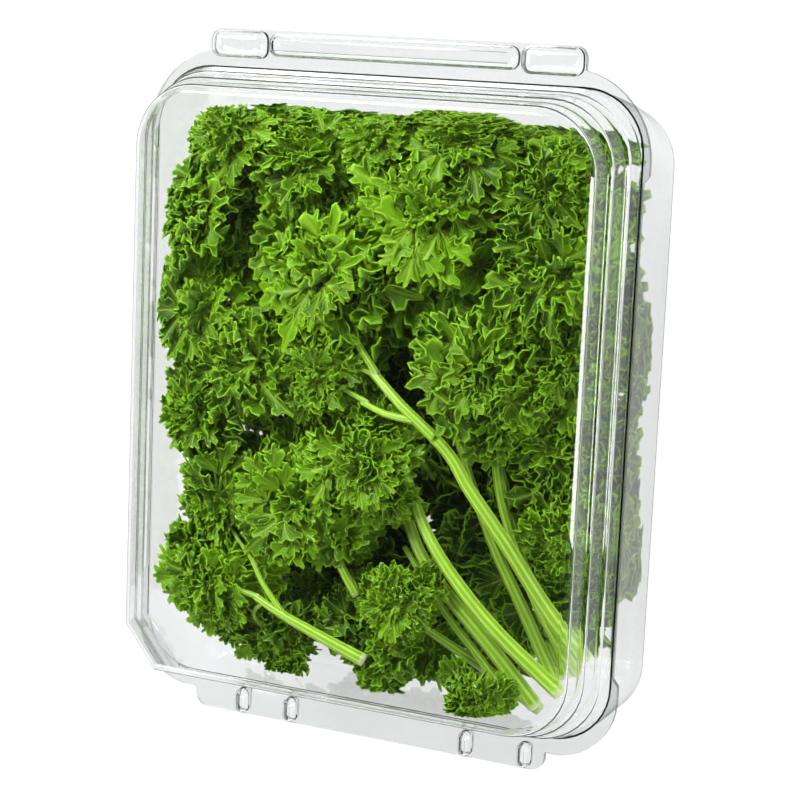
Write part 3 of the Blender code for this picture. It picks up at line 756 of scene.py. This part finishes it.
# Fresh parsley leaf: deep green and slightly glossy above, greyer and dull
# below, with pale veins up each lobe and a thin margin painted brighter, partly
# its own pale teeth and partly a painted highlight. Its green runs from
# near-black to bright by each head's painted shade and tone.
leaf, tree = new_material("fresh_parsley_leaf")
place = add_node(tree, "TexCoord").outputs["Object"]
parts_uv = add_node(tree, "SeparateXYZ", {0: add_node(tree, "UVMap").outputs[0]})
u, v = parts_uv.outputs[0], parts_uv.outputs[1]
from_middle = add_node(tree, "Math", {0: u, 1: 0.5}, operation="SUBTRACT")
from_middle = add_node(tree, "Math", {0: from_middle.outputs[0]}, operation="ABSOLUTE")
from_vein = add_node(tree, "Math", {0: from_middle.outputs[0], 1: 0.5 / LOBES},
                     operation="PINGPONG")
vein_gap = add_node(tree, "Math", {0: from_vein.outputs[0], 1: v}, operation="MULTIPLY")
vein = add_node(tree, "MapRange", {0: vein_gap.outputs[0], 1: 0.003, 2: 0.012, 3: 1.0, 4: 0.0},
                interpolation_type="SMOOTHSTEP")
feather = add_node(tree, "Math", {0: from_vein.outputs[0], 1: -14.0, 2: 0.0},
                   operation="MULTIPLY_ADD")
feather = add_node(tree, "Math", {0: v, 1: 9.0, 2: feather.outputs[0]}, operation="MULTIPLY_ADD")
feather = add_node(tree, "Math", {0: feather.outputs[0], 1: 0.5}, operation="PINGPONG")
side_vein = add_node(tree, "MapRange", {0: feather.outputs[0], 1: 0.0, 2: 0.14, 3: 0.45, 4: 0.0},
                     interpolation_type="SMOOTHSTEP")
veins = add_node(tree, "Math", {0: vein.outputs[0], 1: side_vein.outputs[0]}, operation="MAXIMUM")
painted_shade_and_tone = add_node(tree, "Attribute", attribute_name="painted_shade_and_tone").outputs["Fac"]
under = add_node(tree, "Attribute", attribute_name="under").outputs["Fac"]
is_stalk = add_node(tree, "Attribute", attribute_name="stalk").outputs["Fac"]
# Blotches of about 6 mm and a fine grain of about 0.9 mm, as cells catch light.
blotch = add_node(tree, "TexNoise", {"Vector": place, "Scale": 1 / (6 * MM), "Detail": 2.0})
grain = add_node(tree, "TexNoise", {"Vector": place, "Scale": 1 / (0.9 * MM), "Detail": 2.0})
tone_and_painted_shade = add_node(tree, "Math", {0: blotch.outputs[0], 1: 0.5, 2: -0.25}, operation="MULTIPLY_ADD")
tone_and_painted_shade = add_node(tree, "Math", {0: painted_shade_and_tone, 1: tone_and_painted_shade.outputs[0]}, operation="ADD", use_clamp=True)
# Painted shade: the near-black end of this mix stands for the shade deep among the leaves, where
# low-lying heads and the lower layer go.
green_and_painted_shade = add_node(tree, "Mix", {0: tone_and_painted_shade.outputs[0], 6: colour("#0f3402"),
                                      7: colour("#689602")}, data_type="RGBA")
inner = add_node(tree, "MapRange", {0: v, 1: 0.0, 2: 0.6, 3: 0.55, 4: 0.0},
                 interpolation_type="SMOOTHSTEP")
based = add_node(tree, "Mix", {0: inner.outputs[0], 6: green_and_painted_shade.outputs[2],
                               7: colour("#759d10")}, data_type="RGBA")
vein_share = add_node(tree, "Math", {0: veins.outputs[0], 1: 0.38}, operation="MULTIPLY")
veined = add_node(tree, "Mix", {0: vein_share.outputs[0], 6: based.outputs[2],
                                7: colour("#98b838")}, data_type="RGBA")
below_share = add_node(tree, "Math", {0: under, 1: 0.55}, operation="MULTIPLY")
below = add_node(tree, "Mix", {0: below_share.outputs[0], 6: veined.outputs[2],
                               7: colour("#587c28")}, data_type="RGBA")
# Painted highlight: the outer margin is lightened towards a bright yellow-green, partly the
# teeth's own paleness.
margin = add_node(tree, "MapRange", {0: v, 1: 0.86, 2: 1.0, 3: 0.0, 4: 0.8},
                  interpolation_type="SMOOTHSTEP")
margin_highlighted = add_node(tree, "Mix", {0: margin.outputs[0], 6: below.outputs[2],
                                  7: colour("#88b816")}, data_type="RGBA")
whole = add_node(tree, "Mix", {0: is_stalk, 6: margin_highlighted.outputs[2], 7: colour("#93bf3c")},
                 data_type="RGBA")
relief = add_node(tree, "Math", {0: veins.outputs[0], 1: -0.8, 2: grain.outputs[0]},
                  operation="MULTIPLY_ADD")
crinkle = add_node(tree, "Bump", {"Height": relief.outputs[0], "Strength": 0.45,
                                  "Distance": 0.25 * MM})
gloss = add_node(tree, "MapRange", {0: under, 1: 0.0, 2: 1.0, 3: 0.36, 4: 0.6})
blade_skin = add_node(tree, "BsdfPrincipled", {
    "Base Color": whole.outputs[2], "Roughness": gloss.outputs[0], "IOR": 1.45,
    "Specular IOR Level": 0.2, "Subsurface Weight": 0.25, "Subsurface Radius": (0.5, 1.0, 0.12),
    "Subsurface Scale": 0.8 * MM, "Normal": crinkle.outputs[0]})
add_node(tree, "OutputMaterial", {"Surface": blade_skin.outputs[0]})

# Rings of a main rosette, of the smaller rosettes crowded round it, and of
# those in the lower layer: (leaflets, length, foot distance, lift, droop).
MAIN_RINGS = ((8, 0.56, 0.44, 6, 0.45), (6, 0.5, 0.26, 30, 0.4), (4, 0.38, 0.12, 58, 0.2))
SMALL_RINGS = ((6, 0.84, 0.2, 14, 0.4), (3, 0.66, 0.1, 44, 0.25))
HIDDEN_RINGS = ((7, 0.85, 0.15, 10, 0.3),)
GOLDEN_TURN = 2.39996
UPPER_FULLNESS, LOWER_FULLNESS = 1.18, 1.1   # of a head's radius in HEADS
CROWDING, CURLY_CROWDING, LOWER_CROWDING = 0.3, 0.14, 0.55   # rosettes per mm
VERY_CURLY = 0.7
SPREAD = 0.85          # of the radius that the rosettes' feet keep within
SMALL_RANGE = (0.45, 0.62)    # of the head's radius
SMALLEST_ROSETTE, LOWER_ROSETTE = 7.5, 13.0
# Side sprigs that fill in round a head: (head, x, y, z, radius, kind).
SIDE_SPRIGS = (
    (22, 10, -70, 34, 11, "small"), (22, 4, -78, 30, 10, "small"),
    (22, 18, -72, 28, 10, "small"), (13, 52, -8, 30, 12, "small"),
    (13, 60, -4, 26, 12, "small"), (23, 52, -20, 26, 11, "small"),
    (12, 38, -6, 36, 10, "small"), (34, 40, -34, 9, 15, "hidden"),
    (34, 50, -46, 8, 14, "hidden"), (34, 32, -48, 7, 14, "hidden"),
    (34, 22, -34, 9, 14, "hidden"), (34, 40, -60, 6, 13, "hidden"),
    (34, 54, -62, 6, 12, "hidden"), (34, 24, -62, 6, 13, "hidden"),
    (34, 58, -12, 9, 15, "hidden"), (34, 30, -18, 11, 14, "hidden"),
    (32, 10, -76, 8, 14, "hidden"), (32, 30, -76, 5, 12, "hidden"),
    (34, 22, -42, 17, 12, "hidden"), (34, 29, -36, 15, 12, "hidden"),
    (34, 34, -52, 12, 11, "hidden"), (34, 14, -52, 16, 13, "hidden"),
    (23, 54, -40, 22, 11, "small"), (23, 58, -52, 18, 10, "small"),
)
for index, (x, y, z, radius, flat, curliness, shade_and_tone) in enumerate(HEADS):
    parts = []
    upper = index < UPPER_HEADS
    radius *= UPPER_FULLNESS if upper else LOWER_FULLNESS
    lean = Vector((x * 0.006, y * 0.004, 1.0))
    lean += Vector((random.uniform(-0.3, 0.3), random.uniform(-0.3, 0.3), 0))
    if upper:
        kinds = ["curly" if random.random() < curliness else "open" for _ in range(5)]
        add_rosette(parts, (x, y, z + radius * flat * 0.2), lean, radius, MAIN_RINGS,
                    kinds, shade_and_tone)
    crowding = CROWDING + CURLY_CROWDING * (curliness > VERY_CURLY)
    rosettes = round(radius * (crowding if upper else LOWER_CROWDING))
    for k in range(rosettes):
        share = math.sqrt((k + 0.5) / rosettes)
        bearing = k * GOLDEN_TURN + index
        out = Vector((math.cos(bearing) * share, math.sin(bearing) * share, 0))
        spot = Vector((x, y, z)) + out * radius * SPREAD
        spot.z += radius * flat * ((1 - share ** 2) * 0.5 - 0.4) + random.uniform(-3, 2)
        heading = lean + out * (0.7 if upper else 0.4)
        small = radius * random.uniform(*SMALL_RANGE) * (1.15 - 0.35 * curliness)
        if upper:
            add_rosette(parts, spot, heading, max(small, SMALLEST_ROSETTE), SMALL_RINGS,
                        ["small"], shade_and_tone)
        else:
            add_rosette(parts, spot, heading, LOWER_ROSETTE, HIDDEN_RINGS, ["hidden"],
                        shade_and_tone)
    for owner, sx, sy, sz, reach, kind in SIDE_SPRIGS:
        if owner == index + 1:
            add_rosette(parts, (sx, sy, sz), lean, reach,
                        SMALL_RINGS if kind == "small" else HIDDEN_RINGS, [kind], shade_and_tone)
    name = f"leaf_head_{index + 1:02d}"
    mesh = leaf_mesh("curly_" + name, parts, UPPER_TOP if upper else LOWER_TOP)
    mesh.materials.append(leaf)
    head = bpy.data.objects.new("curly_" + name, mesh)
    bpy.context.scene.collection.objects.link(head)
    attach(head, "tray")
    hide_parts(name)


# ------------------------------------------------------------------- lid
# The lid is the other half of the same PET sheet. Its cup steps in twice on
# the way up to a flat top, one corner is cut off straight, and it swings on the
# fold of the hinge strip.

LID_WALL = (
    (73.6, -89.8, 88.6, 19.0, 30.0, 15.0),
    (72.6, -88.6, 87.6, 18.5, 36.0, 14.5),
    (71.4, -87.4, 86.8, 18.5, 36.8, 14.0),
    (70.6, -86.4, 86.0, 18.0, 43.0, 13.5),
    (69.2, -85.2, 84.8, 18.0, 43.8, 13.0),
    (68.6, -84.6, 84.2, 17.5, 50.2, 12.5),
    (66.8, -82.8, 82.4, 16.0, 51.7, 11.5),
)
lid = form_sheet("clear_lid", LID_WALL, 1)
lid.data.materials.append(pet)
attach(lid, "lid")
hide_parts("clamshell_lid")


# ---------------------------------------------------------------- studio
# A white sweep under soft light from the back left, with dark surroundings
# that draw the edges of the clear sheet as fine grey lines.

bpy.ops.mesh.primitive_plane_add(size=6.0, location=(0, 0, -0.0005))
floor = bpy.context.object
floor.name = "studio_floor"
paper, tree = new_material("white_paper_sweep")
# The sweep lights nothing but is seen as white, and darker where the clear sheet
# mirrors it, so that no white veil lies over the leaves.
ray = add_node(tree, "LightPath")
bounced = add_node(tree, "Math", {0: ray.outputs["Is Glossy Ray"],
                                  1: ray.outputs["Is Transmission Ray"]},
                   operation="SUBTRACT", use_clamp=True)
mirrored = add_node(tree, "MapRange", {0: bounced.outputs[0], 3: 0.93, 4: 0.45})
glow = add_node(tree, "MapRange", {0: ray.outputs["Is Diffuse Ray"], 3: mirrored.outputs[0],
                                   4: 0.0})
sheet_skin = add_node(tree, "BsdfPrincipled", {
    "Base Color": colour("#6e6e6e"), "Roughness": 0.9, "Emission Color": (1, 1, 1, 1),
    "Emission Strength": glow.outputs[0]})
add_node(tree, "OutputMaterial", {"Surface": sheet_skin.outputs[0]})
floor.data.materials.append(paper)

LAMPS = (
    # name, direction from the object, distance, size, power
    ("key", (-0.42, 0.62, 0.68), 0.9, 0.36, 10.2),
    ("side", (0.95, -0.1, 0.42), 1.0, 0.35, 3.6),
    ("front", (-0.5, -0.85, 0.5), 1.1, 0.5, 2.2),
)
for name, direction, distance, size, power in LAMPS:
    towards = Vector(direction).normalized()
    bpy.ops.object.light_add(type="AREA", location=towards * distance)
    lamp = bpy.context.object
    lamp.name = name + "_softbox"
    lamp.rotation_euler = towards.to_track_quat("Z", "Y").to_euler()
    lamp.data.size = size
    lamp.data.energy = power

world = bpy.data.worlds.new("studio")
bpy.context.scene.world = world
world.use_nodes = True
world.node_tree.nodes.clear()
tree = world.node_tree
ray = add_node(tree, "LightPath")
way = add_node(tree, "SeparateXYZ", {0: add_node(tree, "TexCoord").outputs["Generated"]})
height = add_node(tree, "MapRange", {0: way.outputs[2], 1: 0.15, 2: 0.75, 3: 0.42, 4: 0.02},
                  interpolation_type="SMOOTHSTEP")
dim = add_node(tree, "Background", {"Color": (1, 1, 1, 1), "Strength": height.outputs[0]})
pale = add_node(tree, "Background", {"Color": (0.93, 0.93, 0.93, 1), "Strength": 1.0})
seen = add_node(tree, "MixShader", {0: ray.outputs["Is Camera Ray"], 1: dim.outputs[0],
                                    2: pale.outputs[0]})
add_node(tree, "OutputWorld", {"Surface": seen.outputs[0]})

bpy.ops.object.camera_add()
camera = bpy.context.object
# Over the pack, to its right and a little behind, with the hinge at the top.
camera.matrix_world = Matrix((
    (0.9022, -0.1133, 0.4163, 0.2663),
    (0.0426, 0.9836, 0.1754, 0.1089),
    (-0.4293, -0.1405, 0.8922, 0.5861),
    (0, 0, 0, 1)))
camera.data.lens = 100.16
camera.data.sensor_width = 36.0
camera.data.clip_start = 0.01
bpy.context.scene.camera = camera
bpy.context.scene.view_settings.view_transform = "Standard"
